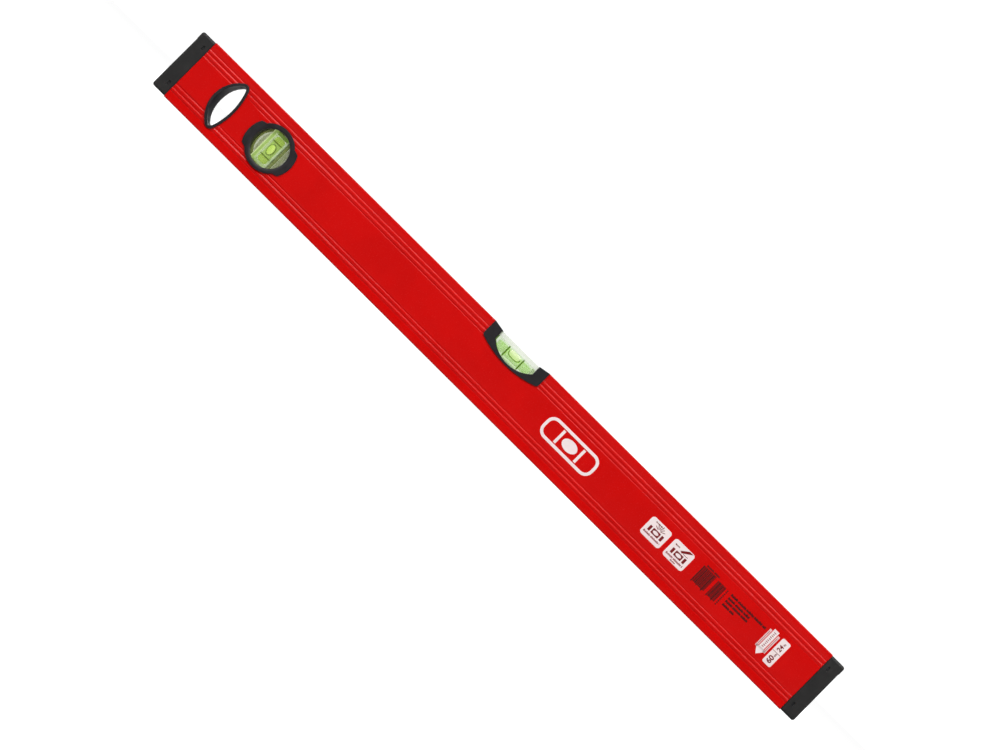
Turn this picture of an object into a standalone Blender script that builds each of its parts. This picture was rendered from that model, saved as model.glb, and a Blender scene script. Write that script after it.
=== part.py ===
"""A 60 cm box-section spirit level: a ribbed aluminium rail with a centre vial, a plumb vial and a hang hole.

The level stands on its working base. +X runs along its length, with the hang hole at the -X end,
+Z is up and the front face looks along -Y. The origin is under the middle of the level, on the base.
"""

import math

import bmesh
import bpy
from mathutils import Matrix, Vector

MM = 0.001

# Rail
LEVEL_LENGTH = 600.0 * MM
RAIL_HEIGHT = 50.0 * MM
RAIL_DEPTH = 20.0 * MM
SIDE_WALL = 1.4 * MM
WORKING_WALL = 1.8 * MM
WEB_THICKNESS = 1.2 * MM
WEB_FROM_EDGE = 14.6 * MM
RAIL_CORNER_RADIUS = 0.8 * MM
FLUTE_COUNT = 3
FLUTE_FIRST = 5.6 * MM
FLUTE_PITCH = 3.2 * MM
FLUTE_DEPTH = 0.55 * MM
FLUTE_LEAD = 0.8 * MM

# Gaps between pieces
GAP = 0.3 * MM
SLIP = 0.15 * MM
LIP_GAP = 0.2 * MM

# Lips that the moulded trims lay on the rail's faces
LIP_THICKNESS = 0.8 * MM
LIP_CHAMFER = 0.3 * MM

# Hang hole trim: a leaf outline, fuller towards the near end of the level
HANG_FROM_END = 47.0 * MM
HANG_HALF_HEIGHT = 19.65 * MM
HANG_END_RADIUS = 3.8 * MM
HANG_OUTER_BULGE = 12.05 * MM
HANG_INNER_BULGE = 6.65 * MM
HANG_RIM = 1.9 * MM
HANG_SLEEVE_WALL = 0.8 * MM

# Plumb vial
PLUMB_FROM_END = 87.2 * MM
PLUMB_WINDOW_RADIUS = 13.5 * MM
BEZEL_RING = 3.4 * MM
BEZEL_OVERLAP = 0.9 * MM
BEZEL_SLEEVE_WALL = 0.9 * MM
BEZEL_SHOULDER_DEPTH = 3.0 * MM
BEZEL_CONE_DEPTH = 1.4 * MM
LOBE_REACH = 2.4 * MM
LOBE_HALF_ANGLE = math.radians(35.0)
LENS_THICKNESS = 0.95 * MM
PLUMB_BLOCK_WIDTH = 14.2 * MM
PLUMB_READING_SPACING = 11.9 * MM
PLUMB_BUBBLE_LENGTH = 9.5 * MM

# Centre vial and its housing
WINDOW_HALF_WIDTH = 17.15 * MM
WINDOW_SIDE_DROP = 8.5 * MM
WINDOW_DROP = 15.3 * MM
ARM_WIDTH = 8.15 * MM
ARM_TOP_FALL = 1.4 * MM
HOUSING_DROP = 16.8 * MM
HOUSING_SAG = 4.6 * MM
HOUSING_CORNER = 1.2 * MM
HOUSING_CORNER_RATIO = 1.1
HOUSING_OVERLAP = 0.9 * MM
CARRIER_WALL = 1.3 * MM
CENTRE_BLOCK_TOP_DROP = 1.8 * MM
CENTRE_BLOCK_HEIGHT = 14.0 * MM
CENTRE_BORE_DROP = 9.65 * MM
CENTRE_READING_SPACING = 13.2 * MM
CENTRE_BUBBLE_LENGTH = 10.4 * MM

# Both vials
VIAL_BORE_RADIUS = 4.5 * MM
VIAL_END_WALL = 2.2 * MM
VIAL_PLUG_LENGTH = 2.6 * MM
RING_THICKNESS = 0.9 * MM
RING_WALL = 0.25 * MM
BUBBLE_HEIGHT = 5.0 * MM
CENTRE_BUBBLE_TRAVEL = 7.0 * MM
PLUMB_BUBBLE_TRAVEL = 4.8 * MM

# End caps and the plugs that hold them
CAP_LENGTH = 12.0 * MM
CAP_INSET = 0.4 * MM
CAP_END_RADIUS = 1.8 * MM
CAP_SIDE_WALL = 2.6 * MM
CAP_END_WALL = 3.0 * MM
CAP_CORNER_PAD = 6.5 * MM
CAP_RECESS = 0.4 * MM
LATCH_FROM_JOINT = 3.3 * MM
LATCH_LENGTH = 1.5 * MM
LATCH_HEIGHT = 3.0 * MM
LATCH_FROM_EDGE = 8.7 * MM
PRONG_LENGTH = 20.0 * MM
PRONG_PAD_LENGTH = 13.0 * MM
PRONG_PAD_HEIGHT = 3.0 * MM

# Facets
ROUND_STEPS = 48
RIDGE_STEPS = 6
CORNER_STEPS = 3
ARC_STEPS = 12
END_ARC_STEPS = 8
LOBED_STEPS = 72

# Places worked out from the sizes above
RAIL_END = LEVEL_LENGTH / 2 - CAP_LENGTH
HALF_DEPTH = RAIL_DEPTH / 2
MIDDLE = RAIL_HEIGHT / 2
INNER_HALF_DEPTH = HALF_DEPTH - SIDE_WALL
LIP_BACK = HALF_DEPTH + LIP_GAP
LIP_FACE = LIP_BACK + LIP_THICKNESS
HANG_X = -LEVEL_LENGTH / 2 + HANG_FROM_END
PLUMB_X = -LEVEL_LENGTH / 2 + PLUMB_FROM_END
BEZEL_RADIUS = PLUMB_WINDOW_RADIUS + BEZEL_RING
BEZEL_SLEEVE_RADIUS = BEZEL_RADIUS - BEZEL_OVERLAP
BEZEL_SLEEVE_BORE = BEZEL_SLEEVE_RADIUS - BEZEL_SLEEVE_WALL
SHOULDER_Y = LIP_FACE - BEZEL_SHOULDER_DEPTH
LENS_Y = SHOULDER_Y - GAP
PLUMB_BLOCK_HALF_DEPTH = LENS_Y - LENS_THICKNESS - GAP
PLUMB_BLOCK_HALF_HEIGHT = math.sqrt(
    (BEZEL_SLEEVE_BORE - GAP) ** 2 - (PLUMB_BLOCK_WIDTH / 2) ** 2
)
HOUSING_HALF_WIDTH = WINDOW_HALF_WIDTH + ARM_WIDTH
CARRIER_HALF_DEPTH = INNER_HALF_DEPTH - GAP
CENTRE_BLOCK_HALF_DEPTH = CARRIER_HALF_DEPTH - CARRIER_WALL
CENTRE_BLOCK_HALF_LENGTH = WINDOW_HALF_WIDTH - SLIP
CENTRE_BLOCK_TOP = RAIL_HEIGHT - CENTRE_BLOCK_TOP_DROP
CENTRE_BLOCK_BASE = CENTRE_BLOCK_TOP - CENTRE_BLOCK_HEIGHT
CENTRE_BORE_Z = RAIL_HEIGHT - CENTRE_BORE_DROP
RING_RADIUS = VIAL_BORE_RADIUS - SLIP
LIQUID_RADIUS = RING_RADIUS - RING_WALL - SLIP
PLUG_RADIUS = VIAL_BORE_RADIUS - SLIP
BUBBLE_OFFSET = LIQUID_RADIUS - BUBBLE_HEIGHT / 2
# The widest ellipse that touches the bore's wall from inside at one point only
BUBBLE_WIDTH = 2 * math.sqrt(BUBBLE_HEIGHT / 2 * LIQUID_RADIUS)
CAP_HALF_DEPTH = HALF_DEPTH - CAP_INSET
POCKET_HALF_DEPTH = CAP_HALF_DEPTH - CAP_SIDE_WALL
POCKET_LENGTH = CAP_LENGTH - CAP_END_WALL


def srgb(red, green, blue):
    """The linear colour of an 8-bit sRGB triple."""

    def linear(level):
        part = level / 255
        return part / 12.92 if part <= 0.04045 else ((part + 0.055) / 1.055) ** 2.4

    return (linear(red), linear(green), linear(blue), 1.0)


def new_collection(name):
    """Makes a collection in the scene."""
    collection = bpy.data.collections.new(name)
    bpy.context.scene.collection.children.link(collection)
    return collection


def plastic_or_metal(name, colour, roughness, metallic=0.0, alpha=1.0):
    """Makes a Principled material."""
    material = bpy.data.materials.new(name)
    material.use_nodes = True
    shader = material.node_tree.nodes["Principled BSDF"]
    shader.inputs["Base Color"].default_value = colour
    shader.inputs["Roughness"].default_value = roughness
    shader.inputs["Metallic"].default_value = metallic
    shader.inputs["Alpha"].default_value = alpha
    material.diffuse_color = (*colour[:3], alpha)
    return material


for leftover in list(bpy.data.objects):
    bpy.data.objects.remove(leftover)

LEVEL = new_collection("spirit_level")
TOOLS = new_collection("cutters")

PAINT = plastic_or_metal("red_paint", srgb(206, 12, 9), 0.38, 0.0)
TRIM = plastic_or_metal("trim_plastic", srgb(50, 48, 50), 0.5)
RUBBER = plastic_or_metal("cap_rubber", srgb(44, 43, 43), 0.7)
PLUG = plastic_or_metal("plug_plastic", srgb(30, 30, 32), 0.55)
ACRYLIC = plastic_or_metal("clear_acrylic", srgb(225, 238, 205), 0.05, 0.0, 0.35)
LIQUID = plastic_or_metal("vial_liquid", srgb(165, 215, 90), 0.05, 0.0, 0.6)
GAS = plastic_or_metal("bubble_gas", srgb(222, 240, 170), 0.05, 0.0, 0.4)
LINE = plastic_or_metal("reading_line", srgb(40, 75, 20), 0.4)


def finish(bm, name, collection):
    """Turns a bmesh into an object with outward normals."""
    bmesh.ops.recalc_face_normals(bm, faces=bm.faces)
    mesh = bpy.data.meshes.new(name)
    bm.to_mesh(mesh)
    bm.free()
    item = bpy.data.objects.new(name, mesh)
    collection.objects.link(item)
    if collection is TOOLS:
        item.hide_render = True
        item.display_type = "WIRE"
    return item


def on_plane(axis, along, u, v):
    """The point at (u, v) on a plane across X or Y."""
    return Vector((along, u, v)) if axis == "X" else Vector((u, along, v))


def prism(name, outline, axis, start, stop, chamfer=0.0, collection=None):
    """Extrudes a flat outline along X or Y. A chamfer breaks the edges of its far face."""
    bm = bmesh.new()
    face = bm.faces.new([bm.verts.new(on_plane(axis, start, u, v)) for u, v in outline])
    lifted = bmesh.ops.extrude_face_region(bm, geom=[face])["geom"]
    far = [item for item in lifted if isinstance(item, bmesh.types.BMVert)]
    bmesh.ops.translate(bm, verts=far, vec=on_plane(axis, stop - start, 0.0, 0.0))
    if chamfer:
        rim = [edge for edge in bm.edges if all(vert in far for vert in edge.verts)]
        bmesh.ops.bevel(
            bm, geom=rim, offset=chamfer, segments=1, profile=0.5, affect="EDGES", material=-1
        )
    return finish(bm, name, collection or TOOLS)


def box(name, low, high, collection=None):
    """A box between two corners."""
    bm = bmesh.new()
    bmesh.ops.create_cube(bm, size=1.0)
    size = [top - bottom for bottom, top in zip(low, high)]
    centre = [(top + bottom) / 2 for bottom, top in zip(low, high)]
    bmesh.ops.scale(bm, verts=bm.verts, vec=size)
    bmesh.ops.translate(bm, verts=bm.verts, vec=centre)
    return finish(bm, name, collection or TOOLS)


def rod(name, axis, centre, start, stop, radius, far_radius=None, collection=None):
    """A cylinder, or a cone with a far radius, along X, Y or Z through a centre point."""
    bm = bmesh.new()
    bmesh.ops.create_cone(
        bm,
        cap_ends=True,
        segments=ROUND_STEPS,
        radius1=radius,
        radius2=radius if far_radius is None else far_radius,
        depth=stop - start,
    )
    turn = {
        "X": Matrix.Rotation(math.pi / 2, 3, "Y"),
        "Y": Matrix.Rotation(-math.pi / 2, 3, "X"),
        "Z": Matrix.Identity(3),
    }[axis]
    along = Vector([axis == "X", axis == "Y", axis == "Z"]) * (start + stop) / 2
    bmesh.ops.rotate(bm, verts=bm.verts, matrix=turn)
    bmesh.ops.translate(bm, verts=bm.verts, vec=Vector(centre) + along)
    return finish(bm, name, collection or TOOLS)


def combine(base, adds=(), cuts=()):
    """Joins and cuts a piece with other solids."""
    steps = [("UNION", tool) for tool in adds] + [("DIFFERENCE", tool) for tool in cuts]
    for operation, tool in steps:
        modifier = base.modifiers.new(tool.name, "BOOLEAN")
        modifier.operation = operation
        modifier.solver = "EXACT"
        modifier.object = tool
    return base


def dress(item, material, smooth_angle=35.0):
    """Gives a piece its material and smooth round sides."""
    item.data.materials.append(material)
    item.data.shade_smooth()
    item.data.set_sharp_from_angle(angle=math.radians(smooth_angle))
    return item


def arc(centre, radius, start, stop, steps):
    """Points along an arc, both ends included."""
    return [
        (
            centre[0] + radius * math.cos(start + (stop - start) * step / steps),
            centre[1] + radius * math.sin(start + (stop - start) * step / steps),
        )
        for step in range(steps + 1)
    ]


def sagging_arc(half_width, end_height, sag, steps):
    """A shallow arc from +half_width to -half_width that dips by sag in the middle."""
    radius = (half_width**2 + sag**2) / (2 * sag)
    reach = math.asin(half_width / radius)
    centre = (0.0, end_height - sag + radius)
    return arc(centre, radius, -math.pi / 2 + reach, -math.pi / 2 - reach, steps)


# Rail


def fluted_band():
    """(distance from the rail's edge, depth below its face) along one fluted band."""
    band = [(FLUTE_FIRST - FLUTE_LEAD, 0.0)]
    for ridge in range(FLUTE_COUNT - 1):
        for step in range(RIDGE_STEPS):
            part = step / RIDGE_STEPS
            away = FLUTE_FIRST + (ridge + part) * FLUTE_PITCH
            band.append((away, FLUTE_DEPTH * (1 - math.sin(math.pi * part))))
    last = FLUTE_FIRST + (FLUTE_COUNT - 1) * FLUTE_PITCH
    return band + [(last, FLUTE_DEPTH), (last + FLUTE_LEAD, 0.0)]


def rail_outline():
    """The rail's outer section as (y, z) points."""
    radius = RAIL_CORNER_RADIUS
    corner = (-HALF_DEPTH + radius, radius)
    lower = arc(corner, radius, -math.pi / 2, -math.pi, CORNER_STEPS)
    lower += [(-HALF_DEPTH + depth, away) for away, depth in fluted_band()]
    upper = [(y, RAIL_HEIGHT - z) for y, z in reversed(lower)]
    front = lower + upper
    return front + [(-y, z) for y, z in reversed(front)]


def rail_chambers():
    """Cutters for the rail's three long chambers."""
    reach = LEVEL_LENGTH
    half_web = WEB_THICKNESS / 2
    heights = {
        "lower": (WORKING_WALL, WEB_FROM_EDGE - half_web),
        "middle": (WEB_FROM_EDGE + half_web, RAIL_HEIGHT - WEB_FROM_EDGE - half_web),
        "upper": (RAIL_HEIGHT - WEB_FROM_EDGE + half_web, RAIL_HEIGHT - WORKING_WALL),
    }
    return [
        box(
            f"chamber_{name}_cut",
            (-reach, -INNER_HALF_DEPTH, low),
            (reach, INNER_HALF_DEPTH, high),
        )
        for name, (low, high) in heights.items()
    ]


def build_rail():
    """The aluminium box-section rail, with its webs, flutes and cut-outs."""
    rail = prism("rail", rail_outline(), "X", -RAIL_END, RAIL_END, collection=LEVEL)
    through = RAIL_DEPTH
    hang_cut = prism(
        "hang_hole_cut", leaf_outline(HANG_RIM - HANG_SLEEVE_WALL - GAP), "Y", -through, through
    )
    plumb_cut = rod(
        "plumb_hole_cut", "Y", (PLUMB_X, 0.0, MIDDLE), -through, through, BEZEL_SLEEVE_RADIUS + GAP
    )
    notch_cut = prism(
        "notch_cut", housing_outline(HOUSING_OVERLAP - GAP), "Y", -through, through
    )
    carrier_half = HOUSING_HALF_WIDTH - HOUSING_OVERLAP + GAP
    carrier_half_depth = CARRIER_HALF_DEPTH + GAP / 2
    carrier_cut = box(
        "carrier_cut",
        (-carrier_half, -carrier_half_depth, CENTRE_BLOCK_BASE - CARRIER_WALL - 2 * GAP),
        (carrier_half, carrier_half_depth, RAIL_HEIGHT + GAP),
    )
    combine(rail, cuts=[*rail_chambers(), hang_cut, plumb_cut, notch_cut, carrier_cut])
    return dress(rail, PAINT, 25.0)


# Hang hole trim


def leaf_side(bulge):
    """(centre offset, radius) of the side arc that meets both end arcs of the leaf."""
    rise = HANG_HALF_HEIGHT - HANG_END_RADIUS
    reach = bulge - HANG_END_RADIUS
    offset = (rise**2 - reach**2) / (2 * reach)
    return offset, offset + bulge


def leaf_outline(inset):
    """The leaf outline, moved inwards by an inset, as (x, z) points."""
    rise = HANG_HALF_HEIGHT - HANG_END_RADIUS
    outer_offset, outer_radius = leaf_side(HANG_OUTER_BULGE)
    inner_offset, inner_radius = leaf_side(HANG_INNER_BULGE)
    outer_turn = math.atan2(rise, outer_offset)
    inner_turn = math.atan2(rise, inner_offset)
    end = HANG_END_RADIUS - inset
    points = arc((-inner_offset, 0.0), inner_radius - inset, -inner_turn, inner_turn, ARC_STEPS)
    points += arc((0.0, rise), end, inner_turn, math.pi - outer_turn, END_ARC_STEPS)[1:]
    points += arc(
        (outer_offset, 0.0), outer_radius - inset, math.pi - outer_turn, math.pi + outer_turn, ARC_STEPS
    )[1:]
    points += arc((0.0, -rise), end, math.pi + outer_turn, 2 * math.pi - inner_turn, END_ARC_STEPS)[1:-1]
    return [(HANG_X + x, MIDDLE + z) for x, z in points]


def build_hang_trim(name, side, opening):
    """One half of the hang hole's lining: a lip on the rail's face and a sleeve to the middle."""
    trim = prism(
        name, leaf_outline(0.0), "Y", side * LIP_BACK, side * LIP_FACE, LIP_CHAMFER, LEVEL
    )
    sleeve = prism(
        f"{name}_sleeve",
        leaf_outline(HANG_RIM - HANG_SLEEVE_WALL),
        "Y",
        side * SLIP,
        side * (LIP_BACK + LIP_THICKNESS / 2),
    )
    return dress(combine(trim, [sleeve], [opening]), TRIM)


def build_hang_trims():
    """Both halves of the hang hole's lining."""
    through = RAIL_DEPTH
    opening = prism("hang_opening_cut", leaf_outline(HANG_RIM), "Y", -through, through)
    for name, side in (("hang_trim_front", -1), ("hang_trim_rear", 1)):
        build_hang_trim(name, side, opening)


# Plumb vial


def lobed_outline():
    """The plumb bezel's lip: a disc with a wider lobe on each side, as (x, z) points."""
    fade = math.radians(5.0)
    points = []
    for step in range(LOBED_STEPS):
        angle = 2 * math.pi * step / LOBED_STEPS
        off_axis = abs(math.remainder(angle, math.pi))
        share = min(max((LOBE_HALF_ANGLE + fade / 2 - off_axis) / fade, 0.0), 1.0)
        radius = BEZEL_RADIUS + LOBE_REACH * share
        points.append((PLUMB_X + radius * math.cos(angle), MIDDLE + radius * math.sin(angle)))
    return points


def build_plumb_bezel(name, side):
    """One bezel of the plumb vial: lip, cone, shoulder that holds the lens, and sleeve."""
    centre = (PLUMB_X, 0.0, MIDDLE)

    def span(near, far):
        return sorted((side * near, side * far))

    bezel = prism(name, lobed_outline(), "Y", side * LIP_BACK, side * LIP_FACE, LIP_CHAMFER, LEVEL)
    sleeve = rod(
        f"{name}_sleeve", "Y", centre, *span(SLIP, LIP_BACK + LIP_THICKNESS / 2), BEZEL_SLEEVE_RADIUS
    )
    bore = rod(f"{name}_bore", "Y", centre, *span(0.0, RAIL_DEPTH), PLUMB_WINDOW_RADIUS)
    counterbore = rod(f"{name}_seat", "Y", centre, *span(-GAP, SHOULDER_Y), BEZEL_SLEEVE_BORE)
    slope = (BEZEL_SLEEVE_RADIUS - PLUMB_WINDOW_RADIUS) / BEZEL_CONE_DEPTH
    mouth = LIP_FACE + GAP
    wide = BEZEL_SLEEVE_RADIUS + slope * GAP
    narrow = PLUMB_WINDOW_RADIUS
    near_radius, far_radius = (wide, narrow) if side < 0 else (narrow, wide)
    cone = rod(
        f"{name}_cone",
        "Y",
        centre,
        *span(LIP_FACE - BEZEL_CONE_DEPTH, mouth),
        near_radius,
        far_radius,
    )
    return dress(combine(bezel, [sleeve], [bore, counterbore, cone]), TRIM)


def build_plumb_lens(name, side):
    """One clear round window of the plumb vial."""
    near, far = sorted((side * LENS_Y, side * (LENS_Y - LENS_THICKNESS)))
    lens = rod(
        name, "Y", (PLUMB_X, 0.0, MIDDLE), near, far, BEZEL_SLEEVE_BORE - GAP, collection=LEVEL
    )
    return dress(lens, ACRYLIC)


def build_plumb_vial():
    """The plumb vial's block, liquid, bubble, plug and reading rings, with its bore along Z."""
    centre = (PLUMB_X, 0.0, MIDDLE)
    half_width = PLUMB_BLOCK_WIDTH / 2
    top = PLUMB_BLOCK_HALF_HEIGHT
    block = box(
        "plumb_vial_block",
        (PLUMB_X - half_width, -PLUMB_BLOCK_HALF_DEPTH, MIDDLE - top),
        (PLUMB_X + half_width, PLUMB_BLOCK_HALF_DEPTH, MIDDLE + top),
        LEVEL,
    )
    bore = rod("plumb_bore_cut", "Z", centre, -top + VIAL_END_WALL, top + GAP, VIAL_BORE_RADIUS)
    dress(combine(block, cuts=[bore]), ACRYLIC)
    plug_base = top - VIAL_PLUG_LENGTH
    plug = rod("plumb_vial_plug", "Z", centre, plug_base, top - SLIP, PLUG_RADIUS, collection=LEVEL)
    dress(plug, PLUG)
    liquid = rod(
        "plumb_vial_liquid",
        "Z",
        centre,
        -top + VIAL_END_WALL + SLIP,
        plug_base - SLIP,
        LIQUID_RADIUS,
        collection=LEVEL,
    )
    reach = PLUMB_BUBBLE_LENGTH / 2 + PLUMB_BUBBLE_TRAVEL + SLIP
    channel = box(
        "plumb_channel_cut",
        (PLUMB_X - RAIL_DEPTH, -RAIL_DEPTH, MIDDLE - reach),
        (PLUMB_X + RAIL_DEPTH, -BUBBLE_OFFSET + BUBBLE_HEIGHT / 2 + SLIP, MIDDLE + reach),
    )
    dress(combine(liquid, cuts=[channel]), LIQUID)
    build_reading_ring("plumb_line_lower", "Z", centre, -PLUMB_READING_SPACING / 2)
    build_reading_ring("plumb_line_upper", "Z", centre, PLUMB_READING_SPACING / 2)
    build_bubble(
        "plumb_bubble",
        (PLUMB_X, -BUBBLE_OFFSET, MIDDLE),
        (BUBBLE_WIDTH, BUBBLE_HEIGHT, PLUMB_BUBBLE_LENGTH),
    )


# Parts that both vials share


def build_reading_ring(name, axis, centre, along):
    """A thin ring round the vial's bore that shows as a reading line."""
    half = RING_THICKNESS / 2
    ring = rod(name, axis, centre, along - half, along + half, RING_RADIUS, collection=LEVEL)
    hole = rod(
        f"{name}_hole", axis, centre, along - RING_THICKNESS, along + RING_THICKNESS, RING_RADIUS - RING_WALL
    )
    return dress(combine(ring, cuts=[hole]), LINE)


def build_bubble(name, centre, size):
    """A flattened bubble with its origin at its centre, on the line that it slides along."""
    bm = bmesh.new()
    bmesh.ops.create_uvsphere(bm, u_segments=24, v_segments=12, radius=0.5)
    bmesh.ops.scale(bm, verts=bm.verts, vec=size)
    bubble = finish(bm, name, LEVEL)
    bubble.location = centre
    return dress(bubble, GAS)


# Centre vial


def housing_outline(inset):
    """The centre housing's outline in the notch, moved inwards by an inset, as (x, z) points."""
    half = HOUSING_HALF_WIDTH - inset
    radius = (HOUSING_HALF_WIDTH**2 + HOUSING_SAG**2) / (2 * HOUSING_SAG) - inset
    lowest = RAIL_HEIGHT - HOUSING_DROP + inset
    shoulder = half - HOUSING_CORNER
    dip = radius - math.sqrt(radius**2 - shoulder**2)
    side = lowest + dip + HOUSING_CORNER * HOUSING_CORNER_RATIO
    top = RAIL_HEIGHT + RAIL_DEPTH
    corners = [(-half, side), (-half, top), (half, top), (half, side)]
    return corners + sagging_arc(shoulder, lowest + dip, dip, 2 * ARC_STEPS)


def arm_top_outline():
    """The space above the housing's arms, which fall from the rail's top towards the window."""
    slope = ARM_TOP_FALL / ARM_WIDTH
    reach = HOUSING_HALF_WIDTH + RAIL_DEPTH
    low = RAIL_HEIGHT - ARM_TOP_FALL
    high = low + slope * (reach - WINDOW_HALF_WIDTH)
    above = RAIL_HEIGHT + 2 * RAIL_DEPTH
    floor = [(-reach, high), (-WINDOW_HALF_WIDTH, low), (WINDOW_HALF_WIDTH, low), (reach, high)]
    return floor + [(reach, above), (-reach, above)]


def window_outline():
    """The centre window, open at the top, as (x, z) points."""
    above = RAIL_HEIGHT + RAIL_DEPTH
    side = RAIL_HEIGHT - WINDOW_SIDE_DROP
    points = [(-WINDOW_HALF_WIDTH, above), (WINDOW_HALF_WIDTH, above)]
    return points + sagging_arc(WINDOW_HALF_WIDTH, side, WINDOW_DROP - WINDOW_SIDE_DROP, 2 * ARC_STEPS)


def build_centre_housing(name, side, cuts):
    """One half of the centre housing: a lip, a neck through the rail's wall and a carrier inside."""
    lip = prism(
        name, housing_outline(0.0), "Y", side * LIP_BACK, side * LIP_FACE, LIP_CHAMFER, LEVEL
    )
    neck = prism(
        f"{name}_neck",
        housing_outline(HOUSING_OVERLAP),
        "Y",
        side * (CARRIER_HALF_DEPTH - GAP),
        side * (LIP_BACK + LIP_THICKNESS / 2),
    )
    half = HOUSING_HALF_WIDTH - HOUSING_OVERLAP
    near, far = sorted((side * SLIP, side * CARRIER_HALF_DEPTH))
    carrier = box(
        f"{name}_carrier",
        (-half, near, CENTRE_BLOCK_BASE - CARRIER_WALL - GAP),
        (half, far, RAIL_HEIGHT + GAP),
    )
    return dress(combine(lip, [neck, carrier], cuts), TRIM)


def build_centre_housings():
    """Both halves of the centre housing, with the vial's pocket and window cut out."""
    half = CENTRE_BLOCK_HALF_LENGTH + GAP
    half_depth = CENTRE_BLOCK_HALF_DEPTH + GAP
    through = RAIL_DEPTH
    pocket = box(
        "centre_pocket_cut",
        (-half, -half_depth, CENTRE_BLOCK_BASE - GAP),
        (half, half_depth, RAIL_HEIGHT + through),
    )
    window = prism("centre_window_cut", window_outline(), "Y", -through, through)
    above = prism("arm_top_cut", arm_top_outline(), "Y", -through, through)
    for name, side in (("centre_housing_front", -1), ("centre_housing_rear", 1)):
        build_centre_housing(name, side, [above, pocket, window])


def build_centre_vial():
    """The centre vial's block, liquid, bubble, plug and reading rings, with its bore along X."""
    centre = (0.0, 0.0, CENTRE_BORE_Z)
    end = CENTRE_BLOCK_HALF_LENGTH
    block = box(
        "centre_vial_block",
        (-end, -CENTRE_BLOCK_HALF_DEPTH, CENTRE_BLOCK_BASE),
        (end, CENTRE_BLOCK_HALF_DEPTH, CENTRE_BLOCK_TOP),
        LEVEL,
    )
    bore = rod("centre_bore_cut", "X", centre, -end + VIAL_END_WALL, end + GAP, VIAL_BORE_RADIUS)
    dress(combine(block, cuts=[bore]), ACRYLIC)
    plug_base = end - VIAL_PLUG_LENGTH
    plug = rod("centre_vial_plug", "X", centre, plug_base, end - SLIP, PLUG_RADIUS, collection=LEVEL)
    dress(plug, PLUG)
    liquid = rod(
        "centre_vial_liquid",
        "X",
        centre,
        -end + VIAL_END_WALL + SLIP,
        plug_base - SLIP,
        LIQUID_RADIUS,
        collection=LEVEL,
    )
    reach = CENTRE_BUBBLE_LENGTH / 2 + CENTRE_BUBBLE_TRAVEL + SLIP
    channel = box(
        "centre_channel_cut",
        (-reach, -RAIL_DEPTH, CENTRE_BORE_Z + BUBBLE_OFFSET - BUBBLE_HEIGHT / 2 - SLIP),
        (reach, RAIL_DEPTH, RAIL_HEIGHT),
    )
    dress(combine(liquid, cuts=[channel]), LIQUID)
    build_reading_ring("centre_line_left", "X", centre, -CENTRE_READING_SPACING / 2)
    build_reading_ring("centre_line_right", "X", centre, CENTRE_READING_SPACING / 2)
    build_bubble(
        "centre_bubble",
        (0.0, 0.0, CENTRE_BORE_Z + BUBBLE_OFFSET),
        (CENTRE_BUBBLE_LENGTH, BUBBLE_WIDTH, BUBBLE_HEIGHT),
    )


# End caps


def along_x(side, near, far):
    """A pair of X values in rising order, measured outwards from the rail's end."""
    return sorted((side * (RAIL_END + near), side * (RAIL_END + far)))


def latch_places():
    """(front or rear, height) of each of a cap's four latch slots."""
    heights = (LATCH_FROM_EDGE, RAIL_HEIGHT - LATCH_FROM_EDGE)
    return [(face, height) for face in (-1, 1) for height in heights]


def latch_box(name, side, face, height, shrink, reach, collection=None):
    """A box at one latch slot: the slot itself, or the hook in it when shrunk."""
    x_low, x_high = along_x(side, LATCH_FROM_JOINT + shrink, LATCH_FROM_JOINT + LATCH_LENGTH - shrink)
    y_low, y_high = sorted((face * (POCKET_HALF_DEPTH - 2 * GAP), face * reach))
    half = LATCH_HEIGHT / 2 - shrink
    return box(name, (x_low, y_low, height - half), (x_high, y_high, height + half), collection)


def build_end_cap(name, side, pull):
    """A rubber end cap with rounded outer edges, a pocket for its plug and four latch slots."""
    x_low, x_high = along_x(side, GAP, CAP_LENGTH)
    bm = bmesh.new()
    bmesh.ops.create_cube(bm, size=1.0)
    bmesh.ops.scale(
        bm, verts=bm.verts, vec=(x_high - x_low, 2 * CAP_HALF_DEPTH, RAIL_HEIGHT - 2 * CAP_INSET)
    )
    bmesh.ops.translate(bm, verts=bm.verts, vec=((x_low + x_high) / 2, 0.0, MIDDLE))
    inner = side * (RAIL_END + GAP)
    rounded = [e for e in bm.edges if any(abs(v.co.x - inner) > GAP for v in e.verts)]
    bmesh.ops.bevel(
        bm, geom=rounded, offset=CAP_END_RADIUS, segments=4, profile=0.5, affect="EDGES", material=-1
    )
    cap = finish(bm, name, LEVEL)
    pocket_low, pocket_high = along_x(side, 0.0, POCKET_LENGTH)
    pocket = box(
        f"{name}_pocket",
        (pocket_low, -POCKET_HALF_DEPTH, CAP_SIDE_WALL),
        (pocket_high, POCKET_HALF_DEPTH, RAIL_HEIGHT - CAP_SIDE_WALL),
    )
    slots = [
        latch_box(f"{name}_slot_{index}", side, face, height, 0.0, RAIL_DEPTH)
        for index, (face, height) in enumerate(latch_places())
    ]
    outer = RAIL_END + CAP_LENGTH
    floor = outer - CAP_RECESS
    recess_outline = [
        (side * floor, CAP_CORNER_PAD + CAP_RECESS),
        (side * floor, RAIL_HEIGHT - CAP_CORNER_PAD - CAP_RECESS),
        (side * (outer + CAP_RECESS), RAIL_HEIGHT - CAP_CORNER_PAD + CAP_RECESS),
        (side * (outer + CAP_RECESS), CAP_CORNER_PAD - CAP_RECESS),
    ]
    recess = prism(f"{name}_recess", recess_outline, "Y", -RAIL_DEPTH, RAIL_DEPTH)
    dress(combine(cap, cuts=[pocket, recess, *slots]), RUBBER)
    cap.parent = pull
    return cap


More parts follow.
